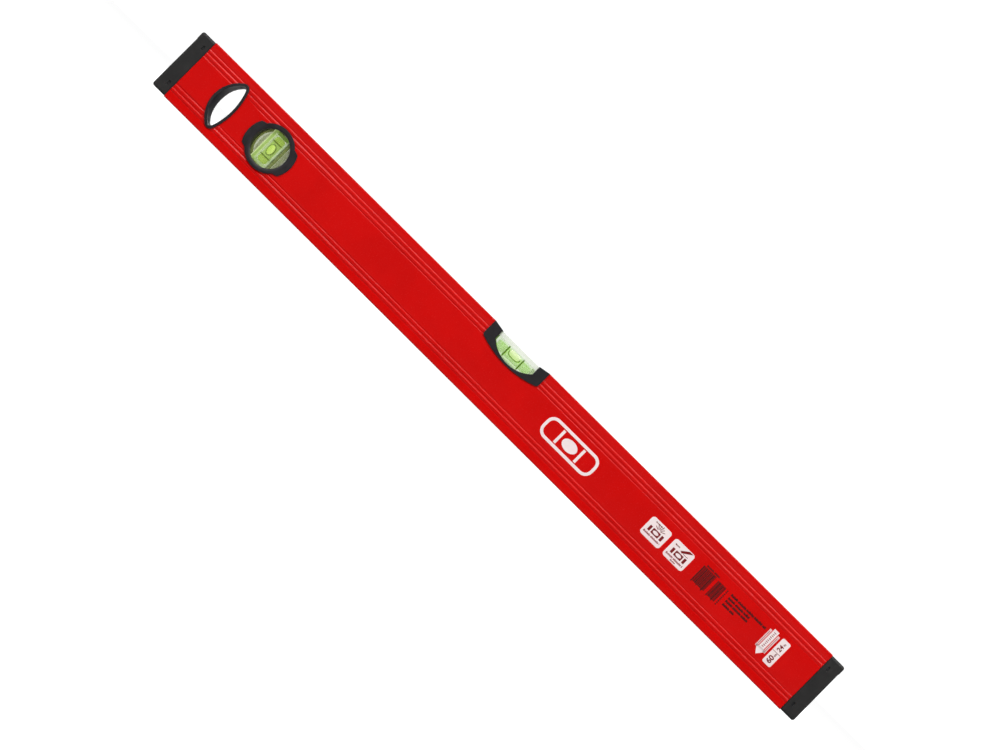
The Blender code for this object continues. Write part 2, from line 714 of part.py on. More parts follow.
def prong_heights():
    """(low, high) of the prong in each of the rail's chambers."""
    half_web = WEB_THICKNESS / 2
    inner = WEB_FROM_EDGE + half_web + 2 * GAP
    return [
        (CAP_SIDE_WALL + 2 * GAP, WEB_FROM_EDGE - half_web - 2 * GAP),
        (inner, RAIL_HEIGHT - inner),
        (RAIL_HEIGHT - WEB_FROM_EDGE + half_web + 2 * GAP, RAIL_HEIGHT - CAP_SIDE_WALL - 2 * GAP),
    ]


def build_end_plug(name, side, pull):
    """The hard plug that holds a cap: a head in the cap's pocket and a prong in each chamber."""
    half = POCKET_HALF_DEPTH - GAP
    head_low, head_high = along_x(side, GAP, POCKET_LENGTH - GAP)
    head = box(
        name,
        (head_low, -half, CAP_SIDE_WALL + GAP),
        (head_high, half, RAIL_HEIGHT - CAP_SIDE_WALL - GAP),
        LEVEL,
    )
    adds = []
    for index, (low, high) in enumerate(prong_heights()):
        x_low, x_high = along_x(side, -PRONG_LENGTH, 2 * GAP)
        thin = half - GAP
        adds.append(box(f"{name}_prong_{index}", (x_low, -thin, low), (x_high, thin, high)))
        pad_low, pad_high = along_x(side, -PRONG_PAD_LENGTH, -3 * GAP)
        middle = (low + high) / 2
        rise = PRONG_PAD_HEIGHT / 2
        reach = INNER_HALF_DEPTH - SLIP
        adds.append(
            box(
                f"{name}_pad_{index}",
                (pad_low, -reach, middle - rise),
                (pad_high, reach, middle + rise),
            )
        )
    adds += [
        latch_box(f"{name}_hook_{index}", side, face, height, SLIP, CAP_HALF_DEPTH - 2 * GAP)
        for index, (face, height) in enumerate(latch_places())
    ]
    dress(combine(head, adds), PLUG)
    head.parent = pull
    return head


def build_end(name, side):
    """A cap and its plug, parented to an empty on the line that they pull off along."""
    pull = bpy.data.objects.new(f"pull_{name}", None)
    LEVEL.objects.link(pull)
    datum = (side * RAIL_END, 0.0, MIDDLE)
    pull.location = datum
    for item in (build_end_cap(f"end_cap_{name}", side, pull), build_end_plug(f"end_plug_{name}", side, pull)):
        item.data.transform(Matrix.Translation(-Vector(datum)))


build_rail()
build_hang_trims()
for half_name, half_side in (("front", -1), ("rear", 1)):
    build_plumb_bezel(f"plumb_bezel_{half_name}", half_side)
    build_plumb_lens(f"plumb_lens_{half_name}", half_side)
build_plumb_vial()
build_centre_housings()
build_centre_vial()
build_end("left", -1)
build_end("right", 1)
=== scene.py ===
"""The looks of a 60 cm box-section spirit level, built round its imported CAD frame.

The level stands on its working edge. X runs along it from the hanging hole to the size label, Z goes up, and
the printed face looks along -Y. Lengths are in metres, and MM turns millimetres into them, but finishes and
prints work in millimetres.
"""

import logging
import math
from collections.abc import Sequence
from dataclasses import dataclass
from enum import Enum

import bmesh
import bpy
from mathutils import Matrix, Vector


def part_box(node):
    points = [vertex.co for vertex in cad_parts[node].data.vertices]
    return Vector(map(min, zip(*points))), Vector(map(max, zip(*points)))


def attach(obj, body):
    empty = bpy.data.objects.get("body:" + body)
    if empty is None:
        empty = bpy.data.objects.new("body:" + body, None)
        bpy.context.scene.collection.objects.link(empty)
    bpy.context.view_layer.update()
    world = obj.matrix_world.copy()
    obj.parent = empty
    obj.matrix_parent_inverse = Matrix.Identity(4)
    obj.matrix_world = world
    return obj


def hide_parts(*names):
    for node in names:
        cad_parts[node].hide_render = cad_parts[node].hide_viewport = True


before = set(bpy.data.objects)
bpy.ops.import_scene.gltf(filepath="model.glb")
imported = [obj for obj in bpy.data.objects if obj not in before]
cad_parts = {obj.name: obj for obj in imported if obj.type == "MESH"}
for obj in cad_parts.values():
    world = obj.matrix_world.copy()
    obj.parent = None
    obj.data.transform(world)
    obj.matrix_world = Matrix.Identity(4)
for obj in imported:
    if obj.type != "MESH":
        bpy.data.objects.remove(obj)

log = logging.getLogger("level")
MM = 0.001
MERGE_DISTANCE = 0.002 * MM
FLAT_ANGLE = math.radians(0.6)
SMOOTH_ANGLE = math.radians(32)
ROUNDED_ANGLE = math.radians(40)
ROUNDING_FACETS = 2
NOISE_ROUGHNESS = 0.55

Colour = tuple[float, float, float]
Shape = bmesh.types.BMesh
Material = bpy.types.Material
Piece = bpy.types.Object
Socket = bpy.types.NodeSocket


def srgb(red: int, green: int, blue: int) -> Colour:
    """A colour given as screen values from 0 to 255, as the linear values that shaders take.

    Args:
        red: The red value.
        green: The green value.
        blue: The blue value.

    Returns:
        The three linear values, from 0 to 1.
    """
    shares = (value / 255 for value in (red, green, blue))
    return tuple(s / 12.92 if s <= 0.04045 else ((s + 0.055) / 1.055) ** 2.4 for s in shares)


class Body(Enum):
    """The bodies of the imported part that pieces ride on."""

    LEVEL = "level"
    CENTRE_BUBBLE = "centre_bubble"
    PLUMB_BUBBLE = "plumb_bubble"
    LEFT_CAP = "left_cap"
    RIGHT_CAP = "right_cap"


class Slot(Enum):
    """The names of the record's material slots."""

    PAINT = "red_paint"
    TRIM = "trim_plastic"
    CAP = "cap_rubber"
    PLUG = "plug_plastic"
    ACRYLIC = "clear_acrylic"
    LIQUID = "vial_liquid"
    GAS = "bubble_gas"
    LINE = "reading_line"


# Shader building


class Channel:
    """A number that varies over a surface: a shader socket that takes part in arithmetic."""

    def __init__(self, tree: bpy.types.NodeTree, socket: Socket) -> None:
        """Wraps a socket of a node tree."""
        self.tree = tree
        self.socket = socket

    def _math(self, operation: str, *values: "Channel | float | None") -> "Channel":
        """Adds a Math node.

        Args:
            operation: The node's operation.
            *values: Its inputs in order, where None stands for this channel.

        Returns:
            The node's result.
        """
        node = self.tree.nodes.new("ShaderNodeMath")
        node.operation = operation
        for place, value in enumerate(values or (None,)):
            source = self if value is None else value
            if isinstance(source, Channel):
                self.tree.links.new(source.socket, node.inputs[place])
            else:
                node.inputs[place].default_value = source
        return Channel(self.tree, node.outputs[0])

    def __add__(self, other: "Channel | float") -> "Channel":
        """This channel plus another or a number."""
        return self._math("ADD", None, other)

    __radd__ = __add__

    def __sub__(self, other: "Channel | float") -> "Channel":
        """This channel less another or a number."""
        return self._math("SUBTRACT", None, other)

    def __mul__(self, other: "Channel | float") -> "Channel":
        """This channel times another or a number."""
        return self._math("MULTIPLY", None, other)

    __rmul__ = __mul__

    def __truediv__(self, other: "Channel | float") -> "Channel":
        """This channel over another or a number."""
        return self._math("DIVIDE", None, other)

    def __pow__(self, other: float) -> "Channel":
        """This channel to a power."""
        return self._math("POWER", None, other)

    def __abs__(self) -> "Channel":
        """This channel without its sign."""
        return self._math("ABSOLUTE", None)

    def larger(self, other: "Channel | float") -> "Channel":
        """The larger of this channel and another."""
        return self._math("MAXIMUM", None, other)

    def rise(self, start: float, end: float) -> "Channel":
        """A smooth step from 0 at start to 1 at end, which may lie below start.

        Args:
            start: Where the step begins.
            end: Where it is complete.

        Returns:
            The stepped channel.
        """
        node = self.tree.nodes.new("ShaderNodeMapRange")
        node.interpolation_type = "SMOOTHSTEP"
        node.inputs["From Min"].default_value = start
        node.inputs["From Max"].default_value = end
        self.tree.links.new(self.socket, node.inputs["Value"])
        return Channel(self.tree, node.outputs["Result"])


class Recipe:
    """A material under construction: one Principled shader and the nodes that feed it."""

    def __init__(self, name: str, **settings: float | Colour) -> None:
        """Starts a material.

        Args:
            name: The material's name.
            **settings: Values that are the same all over the surface, by socket name with _ for a space.
        """
        self.material = bpy.data.materials.new(name)
        self.material.use_nodes = True
        self.tree = self.material.node_tree
        self.shader = self.tree.nodes["Principled BSDF"]
        for key, value in settings.items():
            socket = self.shader.inputs[key.replace("_", " ")]
            socket.default_value = (*value, 1.0) if isinstance(value, tuple) else value

    def node(self, kind: str, settings: dict[str, object], inputs: dict[str, object]) -> bpy.types.Node:
        """Adds a node.

        Args:
            kind: The node's type.
            settings: Its properties, which are set first.
            inputs: Its input sockets' values or links, by socket name or identifier.

        Returns:
            The new node.
        """
        made = self.tree.nodes.new(kind)
        for key, value in settings.items():
            setattr(made, key, value)
        for key, value in inputs.items():
            socket = made.inputs.get(key) or next(s for s in made.inputs if s.identifier == key)
            self.join(value, socket)
        return made

    def join(self, value: object, socket: Socket) -> None:
        """Links or sets an input socket.

        Args:
            value: A channel, a socket, a number or a colour.
            socket: The input to drive.
        """
        if isinstance(value, Channel):
            self.tree.links.new(value.socket, socket)
        elif isinstance(value, Socket):
            self.tree.links.new(value, socket)
        elif isinstance(value, tuple) and len(socket.default_value) > len(value):
            socket.default_value = (*value, 1.0)
        else:
            socket.default_value = value

    def feed(self, socket: str, value: object) -> None:
        """Drives one of the shader's sockets."""
        self.join(value, self.shader.inputs[socket])

    def colour(self, tone: object, glow: float) -> None:
        """Colours the surface, and adds a painted glow: emission in the same colour, though the surface is no
        lamp.

        Args:
            tone: The colour, or its socket.
            glow: How strongly the painted glow shines.
        """
        self.feed("Base Color", tone)
        # painted glow: the colour is also emitted, brightening the surface as if lit
        self.feed("Emission Color", tone)
        self.shader.inputs["Emission Strength"].default_value = glow

    def place(self, centre: Vector | None = None) -> tuple[Channel, Channel, Channel]:
        """The point being shaded, in millimetres.

        Args:
            centre: The point in metres that counts as nought.

        Returns:
            Its X, Y and Z.
        """
        offset = tuple(-axis / MM for axis in (centre or Vector((0, 0, 0))))
        where = self.node("ShaderNodeTexCoord", {}, {}).outputs["Object"]
        scaled = self.node("ShaderNodeVectorMath", {"operation": "MULTIPLY_ADD"}, {"Vector": where})
        scaled.inputs[1].default_value = (1 / MM,) * 3
        scaled.inputs[2].default_value = offset
        parts = self.node("ShaderNodeSeparateXYZ", {}, {"Vector": scaled.outputs["Vector"]})
        return tuple(Channel(self.tree, parts.outputs[axis]) for axis in "XYZ")

    def noise(
        self, grain: float, detail: float, stretch: tuple[float, float, float] = (1, 1, 1)
    ) -> Channel:
        """Soft random mottling from 0 to 1.

        Args:
            grain: The size of a spot in millimetres.
            detail: How many finer octaves lie over it.
            stretch: How closely the spots are packed along each axis.

        Returns:
            The mottling.
        """
        where = self.node("ShaderNodeTexCoord", {}, {}).outputs["Object"]
        turned = self.node("ShaderNodeMapping", {}, {"Vector": where, "Scale": stretch})
        sizes = {"Scale": 1 / (grain * MM), "Detail": detail, "Roughness": NOISE_ROUGHNESS}
        made = self.node("ShaderNodeTexNoise", {}, {"Vector": turned.outputs["Vector"], **sizes})
        return Channel(self.tree, made.outputs["Fac"])

    def blend(self, share: Channel, start: object, end: object) -> Socket:
        """A colour between two others.

        Args:
            share: How much of the second colour shows, from 0 to 1.
            start: The first colour.
            end: The second colour.

        Returns:
            The mixed colour's socket.
        """
        ends = {"Factor_Float": share, "A_Color": start, "B_Color": end}
        made = self.node("ShaderNodeMix", {"data_type": "RGBA"}, ends)
        return next(s for s in made.outputs if s.identifier == "Result_Color")

    def emboss(self, height: Channel, depth: float, strength: float) -> None:
        """Raises fine relief on the surface.

        Args:
            height: The relief, from 0 to 1.
            depth: The height of 1, in millimetres.
            strength: How strongly it shows.
        """
        relief = {"Height": height, "Distance": depth * MM, "Strength": strength}
        self.feed("Normal", self.node("ShaderNodeBump", {}, relief).outputs["Normal"])


# Finishes


@dataclass(frozen=True)
class PowderCoat:
    """Red powder coat baked on aluminium: satin, with a fine orange peel and faint cloudiness."""

    colour: Colour = srgb(219, 5, 3)
    deep: Colour = srgb(210, 4, 2)
    peel: float = 0.85
    peel_height: float = 0.012

    def material(self) -> Material:
        """Builds the paint.

        Returns:
            The material.
        """
        made = Recipe("powder_coat_red", Specular_IOR_Level=0.2)
        cloud = made.noise(26.0, 3.0)
        peel = made.noise(self.peel, 2.0)
        dust = made.noise(0.16, 1.0)
        share = cloud.rise(0.32, 0.68) * 0.75 + dust * 0.25
        made.feed("Base Color", made.blend(share, self.deep, self.colour))
        made.feed("Roughness", 0.2 + 0.08 * peel + 0.04 * dust)
        made.emboss(peel * 0.8 + dust * 0.2, self.peel_height, 0.55)
        return made.material


@dataclass(frozen=True)
class MouldedPlastic:
    """Black polymer from a spark-eroded mould: a fine even grain, paler where handling polishes it."""

    name: str
    colour: Colour
    rubbed: Colour
    grain: float = 0.28
    grain_height: float = 0.02
    roughness: float = 0.42
    specular: float = 0.4

    def material(self) -> Material:
        """Builds the plastic.

        Returns:
            The material.
        """
        made = Recipe(self.name, Specular_IOR_Level=self.specular)
        grain = made.noise(self.grain, 1.5)
        haze = made.noise(7.0, 3.0)
        share = haze.rise(0.35, 0.75) * 0.6 + grain * 0.3
        made.feed("Base Color", made.blend(share, self.colour, self.rubbed))
        made.feed("Roughness", self.roughness - 0.08 + 0.12 * haze + 0.1 * grain)
        made.emboss(grain, self.grain_height, 0.7)
        return made.material


@dataclass(frozen=True)
class ClearPlastic:
    """Tinted clear plastic with the faint haze of a moulding."""

    name: str
    tint: Colour
    haze: Colour
    cover: float

    def material(self) -> Material:
        """Builds the clear plastic.

        Returns:
            The material.
        """
        made = Recipe(self.name, Alpha=self.cover, Specular_IOR_Level=0.4)
        swirl = made.noise(9.0, 2.0, (1, 1, 0.4))
        made.feed("Base Color", made.blend(swirl.rise(0.3, 0.7), self.tint, self.haze))
        made.feed("Roughness", 0.06 + 0.08 * swirl)
        return made.material


@dataclass(frozen=True)
class WindowPlastic:
    """A round window of clear plastic, polished clear in a strip over the barrel; at its sides an olive sheet
    paints the shade of the interior behind it, and at its left a clear crescent lets the dark wall show as a
    painted shadow.
    """

    name: str
    centre: Vector
    strip: tuple[float, float]
    # tint and haze colour the sheet that paints the shade at the window's sides
    tint: Colour = srgb(146, 160, 84)
    haze: Colour = srgb(158, 172, 104)
    strip_cover: float = 0.06
    painted_shade_cover: float = 0.44
    # the circle where the side sheet stops, leaving the painted shadow crescent at the left
    shadow_crescent_reach: float = 12.3
    shadow_crescent_soft: float = 0.3
    shadow_crescent_shift: float = 0.6
    shadow_crescent_flatness: float = 0.8

    def material(self) -> Material:
        """Builds the window's plastic.

        Returns:
            The material.
        """
        made = Recipe(self.name, Specular_IOR_Level=0.3)
        x, _, z = made.place(self.centre)
        swirl = made.noise(9.0, 2.0, (1, 1, 0.4))
        wide, tall = (reach / MM for reach in self.strip)
        # painted shade: a tinted sheet at the sides stands in for the shaded interior behind the clear lens
        side = abs(x).rise(wide - 0.2, wide + 0.3).larger(abs(z).rise(tall - 0.5, tall - 0.1))
        # painted shadow: the sheet stops at a circle shifted to the right, leaving a clear crescent at the
        # left where the dark wall shows
        shifted = x - self.shadow_crescent_shift
        flattened = z * self.shadow_crescent_flatness
        outer, inner = self.shadow_crescent_reach + self.shadow_crescent_soft, self.shadow_crescent_reach - self.shadow_crescent_soft
        side = side * (shifted * shifted + flattened * flattened).rise(outer**2, inner**2)
        made.feed("Base Color", made.blend(swirl.rise(0.3, 0.7), self.tint, self.haze))
        made.feed("Roughness", 0.06 + 0.08 * swirl)
        made.feed("Alpha", self.strip_cover + (self.painted_shade_cover - self.strip_cover) * side)
        return made.material


@dataclass(frozen=True)
class DyedAcrylic:
    """Green acrylic of the plumb block, with a painted highlight along its left long edge, painted shade
    along its right one, and a painted glow for the dye's fluorescence.
    """

    name: str
    centre: Vector
    half_width: float
    body: Colour = srgb(176, 214, 84)
    # colours of the painted highlight on the left long edge and the painted shade on the right one
    painted_lit_edge: Colour = srgb(226, 242, 176)
    painted_shaded_edge: Colour = srgb(16, 40, 4)
    flank: Colour = srgb(136, 172, 72)
    bore: tuple[float, float] = (4.5, 10.4)
    cover: float = 0.22
    flank_cover: float = 0.38
    painted_edge_cover: float = 0.28
    glow: float = 0.36

    def material(self) -> Material:
        """Builds the block's acrylic.

        Returns:
            The material.
        """
        made = Recipe(self.name, Specular_IOR_Level=0.4)
        x, _, z = made.place(self.centre)
        cloud = made.noise(6.0, 2.0)
        reach = self.half_width / MM
        wide, tall = self.bore
        solid = abs(x).rise(wide - 0.3, wide + 0.2).larger(abs(z).rise(tall - 0.2, tall + 0.4))
        # painted highlight at the left long edge and painted shade at the right one, as if lit from the left
        left = x.rise(1.3 - reach, 0.5 - reach)
        right = x.rise(reach - 1.3, reach - 0.7)
        tone = made.blend(left * 0.8, made.blend(solid, self.body, self.flank), self.painted_lit_edge)
        tone = made.blend(right * 0.9, tone, self.painted_shaded_edge)
        tone = made.blend(cloud.rise(0.4, 0.8) * 0.12, tone, self.painted_lit_edge)
        # painted glow for the dye's fluorescence
        made.colour(tone, self.glow)
        made.feed("Roughness", 0.08 + 0.1 * cloud)
        # the painted highlight and shade edges are also made more opaque
        made.feed("Alpha", self.cover + self.flank_cover * solid + self.painted_edge_cover * left.larger(right))
        return made.material


@dataclass(frozen=True)
class BandedAcrylic:
    """Green acrylic of the centre block: frosted white near its top, with a painted highlight along the
    barrel's foot, painted shade below it, and a painted glow.
    """

    name: str
    band: float
    foot: float
    body: Colour = srgb(140, 196, 50)
    frost: Colour = srgb(226, 230, 218)
    # colours of the painted highlight along the barrel's foot and the painted shade below it
    painted_foot_highlight: Colour = srgb(206, 250, 130)
    shaded: Colour = srgb(104, 158, 60)
    cover: float = 0.28
    pale_cover: float = 0.2
    shade_cover: float = 0.3
    foot_reach: tuple[float, float] = (8.0, 5.5)
    glow: float = 0.2

    def material(self) -> Material:
        """Builds the block's acrylic.

        Returns:
            The material.
        """
        made = Recipe(self.name, Specular_IOR_Level=0.4)
        x, _, z = made.place()
        cloud = made.noise(5.0, 2.0)
        foot = self.foot / MM
        frosted = z.rise(self.band / MM - 0.3, self.band / MM + 0.5)
        # painted highlight: a bright line along the barrel's foot
        lit = z.rise(foot - 0.7, foot - 0.3) * z.rise(foot + 0.5, foot + 0.1) * abs(x).rise(*self.foot_reach)
        # painted shade below the barrel's foot
        shade = z.rise(foot - 0.2, foot - 1.0)
        tone = made.blend(shade, made.blend(lit * 0.8, self.body, self.painted_foot_highlight), self.shaded)
        tone = made.blend(frosted * (0.85 + 0.15 * cloud), tone, self.frost)
        # painted glow
        made.colour(tone, self.glow)
        made.feed("Roughness", 0.1 + 0.12 * cloud)
        made.feed("Alpha", self.cover + self.pale_cover * (frosted + lit) + self.shade_cover * shade)
        return made.material


class Along(Enum):
    """The axis that a vial's barrel lies along."""

    X = 0
    Z = 2


@dataclass(frozen=True)
class VialLiquid:
    """Fluorescent spirit in a barrel: paler between the reading lines, more saturated beyond them, with a
    painted glow for its fluorescence.
    """

    name: str
    centre: Vector
    along: Along
    line_at: float
    middle: Colour = srgb(208, 236, 150)
    ends: Colour = srgb(208, 234, 122)
    cover: float = 0.36
    glow: float = 0.5

    def material(self) -> Material:
        """Builds the spirit.

        Returns:
            The material.
        """
        made = Recipe(self.name, Alpha=self.cover, Specular_IOR_Level=0.3)
        far = abs(made.place(self.centre)[self.along.value])
        cloud = made.noise(3.5, 2.0)
        line = self.line_at / MM
        tone = made.blend(far.rise(line - 0.6, line + 0.6) * 0.9 + cloud * 0.1, self.middle, self.ends)
        # painted glow for the spirit's fluorescence
        made.colour(tone, self.glow)
        made.feed("Roughness", 0.06 + 0.1 * cloud)
        return made.material


@dataclass(frozen=True)
class BubbleGas:
    """A bubble in green spirit: pale in its middle and lighter towards one side as a painted highlight, with
    a painted dark rim that stands in for the shade of its curved surface, and a painted glow.
    """

    name: str
    centre: Vector
    half_length: float
    half_width: float
    along: Along
    bluntness: float
    inside: Colour
    # deep is the painted highlight colour of the lighter side, and rim the colour of the painted dark rim
    deep: Colour
    rim: Colour
    open_top: bool
    rim_from: float = 0.52
    rim_soft: float = 0.16
    open_reach: tuple[float, float] = (0.5, 0.1)
    glow: float = 0.35

    def material(self) -> Material:
        """Builds the bubble's surface.

        Returns:
            The material.
        """
        made = Recipe(self.name, Specular_IOR_Level=0.4)
        place = made.place(self.centre)
        long = abs(place[self.along.value] / (self.half_length / MM))
        wide = place[2 - self.along.value] / (self.half_width / MM)
        ripple = made.noise(2.4, 1.0)
        outward = long**self.bluntness + wide * wide + 0.05 * ripple
        # painted shade: a dark rim where the curved surface would darken by refraction
        rim = outward.rise(self.rim_from, self.rim_from + self.rim_soft)
        if self.open_top:
            rim = rim * wide.rise(*self.open_reach)
        # painted highlight: lighter towards one side across the bubble
        tone = made.blend(wide.rise(-0.6, 0.7) * 0.8 + ripple * 0.2, self.inside, self.deep)
        tone = made.blend(rim, tone, self.rim)
        # painted glow
        made.colour(tone, self.glow)
        made.feed("Roughness", 0.05 + 0.08 * ripple)
        return made.material


@dataclass(frozen=True)
class PrintInk:
    """Screen-printed ink or a label's film: even, with a trace of the screen's mesh in its gloss."""

    name: str
    colour: Colour
    thin: Colour
    roughness: float = 0.42

    def material(self) -> Material:
        """Builds the ink.

        Returns:
            The material.
        """
        made = Recipe(self.name, Specular_IOR_Level=0.3)
        mesh = made.noise(0.22, 1.0)
        patch = made.noise(4.0, 2.0)
        share = patch.rise(0.35, 0.8) * 0.5 + mesh * 0.3
        made.feed("Base Color", made.blend(share, self.colour, self.thin))
        made.feed("Roughness", self.roughness + 0.14 * mesh)
        made.emboss(mesh, 0.006, 0.4)
        return made.material


# Pieces


def settle(
    mesh: Shape, name: str, finishes: Sequence[Material], body: Body
) -> Piece:
    """Turns a finished bmesh into a piece that rides on its body.

    Args:
        mesh: The shape, in the part's frame. It is freed.
        name: The piece's name.
        finishes: Its materials, in the order that its faces number them.
        body: The body that it rides on.

    Returns:
        The piece.
    """
    data = bpy.data.meshes.new(name)
    for face in mesh.faces:
        face.smooth = True
    mesh.to_mesh(data)
    mesh.free()
    data.set_sharp_from_angle(angle=SMOOTH_ANGLE)
    for finish in finishes:
        data.materials.append(finish)
    piece = bpy.data.objects.new(name, data)
    bpy.context.scene.collection.objects.link(piece)
    weighted = piece.modifiers.new("flat_faces_stay_flat", "WEIGHTED_NORMAL")
    weighted.keep_sharp = True
    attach(piece, body.value)
    log.info("%s: %d faces on %s", name, len(data.polygons), body.value)
    return piece


def merged_copy(node: str) -> Shape:
    """A closed copy of a CAD node's mesh, with its flat faces made whole.

    Args:
        node: The CAD node's name.

    Returns:
        The copy.
    """
    mesh = bmesh.new()
    mesh.from_mesh(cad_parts[node].data)
    bmesh.ops.remove_doubles(mesh, verts=mesh.verts, dist=MERGE_DISTANCE)
    bmesh.ops.dissolve_limit(
        mesh, angle_limit=FLAT_ANGLE, use_dissolve_boundaries=False, verts=mesh.verts, edges=mesh.edges
    )
    return mesh


def bevel(mesh: Shape, parts: list[object], width: float, segments: int, affect: str = "EDGES") -> None:
    """Rounds edges or corners.

    Args:
        mesh: The shape.
        parts: The edges or vertices to round.
        width: The rounding's width in metres.
        segments: How many facets it has.
        affect: EDGES or VERTICES.
    """
    bmesh.ops.bevel(
        mesh, geom=parts, offset=width, offset_type="OFFSET", segments=segments, profile=0.5, affect=affect,
        clamp_overlap=True, material=-1,
    )


def round_over(mesh: Shape, width: float) -> None:
    """Rounds every sharp edge of a shape by a width in metres."""
    edges = [e for e in mesh.edges if e.is_manifold and e.calc_face_angle() > ROUNDED_ANGLE]
    bevel(mesh, edges, width, ROUNDING_FACETS)


def finished_copy(
    node: str, name: str, finish: Material, body: Body, slot: Slot, rounding: float = 0.0
) -> Piece:
    """A smooth piece that takes a CAD node's place, with its sharp edges rounded.

    Args:
        node: The CAD node's name.
        name: The piece's name.
        finish: Its material.
        body: The body that it rides on.
        slot: The record's material slot; not used.
        rounding: The width of the rounding in metres, or 0 for none.

    Returns:
        The piece.
    """
    mesh = merged_copy(node)
    if rounding:
        round_over(mesh, rounding)
    for face in mesh.faces:
        face.material_index = 0
    piece = settle(mesh, name, [finish], body)
    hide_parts(node)
    return piece


@dataclass
class Rail:
    """The aluminium box section, with its fluted bands and openings."""

    finish: PowderCoat = PowderCoat()

    def build(self) -> None:
        """Makes the rail from its CAD node, smooth over its flutes."""
        finished_copy("rail", "rail_body", self.finish.material(), Body.LEVEL, Slot.PAINT)


@dataclass
class HangingHole:
    """The leaf-shaped lining of the hanging hole, whose walls curve in to a waist in the rail's middle."""

    finish: Material
    rounding: float = 0.25 * MM
    leaf_tip: float = 12.05 * MM
    leaf_reach: tuple[float, float] = (10.15 * MM, 4.75 * MM)
    leaf_height: float = 17.75 * MM
    waist_shift: float = -1.5 * MM
    waist_reach: tuple[float, float] = (6.9 * MM, 5.0 * MM)
    waist_height: float = 17.2 * MM
    rear_thinning: float = 0.6 * MM
    loops: int = 5

    def build(self) -> None:
        """Makes the front and rear half of the lining."""
        for side in ("front", "rear"):
            node = f"hang_trim_{side}"
            mesh = merged_copy(node)
            self.draw_in(mesh, *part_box(node))
            round_over(mesh, self.rounding)
            piece = settle(mesh, f"hanging_hole_{side}", [self.finish], Body.LEVEL)
            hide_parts(node)

    @staticmethod
    def across(vert: bmesh.types.BMVert) -> tuple[int, int]:
        """A vertex's place in the plane of the rail's face, in hundredths of a millimetre."""
        return round(vert.co.x / (0.01 * MM)), round(vert.co.z / (0.01 * MM))

    def draw_in(self, mesh: Shape, low: Vector, high: Vector) -> None:
        """Curves the inner wall in towards the waist.

        Args:
            mesh: A half of the lining with straight walls.
            low: Its box's lowest corner.
            high: Its box's highest corner.
        """
        deep = max(abs(low.y), abs(high.y))
        near_middle = {self.across(v) for v in mesh.verts if abs(v.co.y) < MM}
        at_mouth = {self.across(v) for v in mesh.verts if abs(v.co.y) > deep - 0.05 * MM}
        inner = near_middle & at_mouth
        side = math.copysign(1.0, low.y + high.y)
        for loop in range(1, self.loops):
            level = side * deep * loop / self.loops
            everything = mesh.verts[:] + mesh.edges[:] + mesh.faces[:]
            bmesh.ops.bisect_plane(mesh, geom=everything, plane_co=(0, level, 0), plane_no=(0, 1, 0))
        tip, middle = low.x + self.leaf_tip, (low.z + high.z) / 2
        for vert in mesh.verts:
            if self.across(vert) not in inner:
                continue
            across, up = vert.co.x - tip, vert.co.z - middle
            end = 0 if across < 0 else 1
            angle = math.atan2(up / self.leaf_height, across / self.leaf_reach[end])
            waist_x = tip + self.waist_shift + self.waist_reach[end] * math.cos(angle)
            waist_z = middle + self.waist_height * math.sin(angle)
            share = math.cos(abs(vert.co.y) / deep * math.pi / 2)
            if side > 0 and math.cos(angle) < 0.2:
                vert.co.x -= self.rear_thinning * (1 - share)
                vert.co.z += self.rear_thinning * math.sin(angle) * (1 - share)
            vert.co.x += (waist_x - vert.co.x) * share
            vert.co.z += (waist_z - vert.co.z) * share


@dataclass
class Trims:
    """The black mouldings that line the openings: hanging hole, plumb bezel and centre housing."""

    rounding: float = 0.22 * MM
    finish: MouldedPlastic = MouldedPlastic(
        "trim_polymer", srgb(32, 30, 33), srgb(46, 44, 48), specular=0.3
    )

    def build(self) -> None:
        """Makes the front and rear moulding of each opening."""
        material = self.finish.material()
        HangingHole(material).build()
        for opening in ("plumb_bezel", "centre_housing"):
            for side in ("front", "rear"):
                node = f"{opening}_{side}"
                finished_copy(node, f"{node}_moulding", material, Body.LEVEL, Slot.TRIM, self.rounding)


@dataclass
class EndCaps:
    """The rubbery cap and the plug behind it at each end of the rail."""

    rounding: float = 0.25 * MM
    cap: MouldedPlastic = MouldedPlastic("cap_rubber_black", srgb(32, 31, 31), srgb(44, 43, 42), grain=0.4)
    plug: MouldedPlastic = MouldedPlastic("plug_polymer", srgb(26, 26, 28), srgb(40, 40, 42), roughness=0.5)

    def build(self) -> None:
        """Makes both caps and both plugs."""
        rubber, polymer = self.cap.material(), self.plug.material()
        for side, body in (("left", Body.LEFT_CAP), ("right", Body.RIGHT_CAP)):
            finished_copy(f"end_cap_{side}", f"cap_{side}", rubber, body, Slot.CAP, self.rounding)
            finished_copy(f"end_plug_{side}", f"plug_{side}", polymer, body, Slot.PLUG, self.rounding)


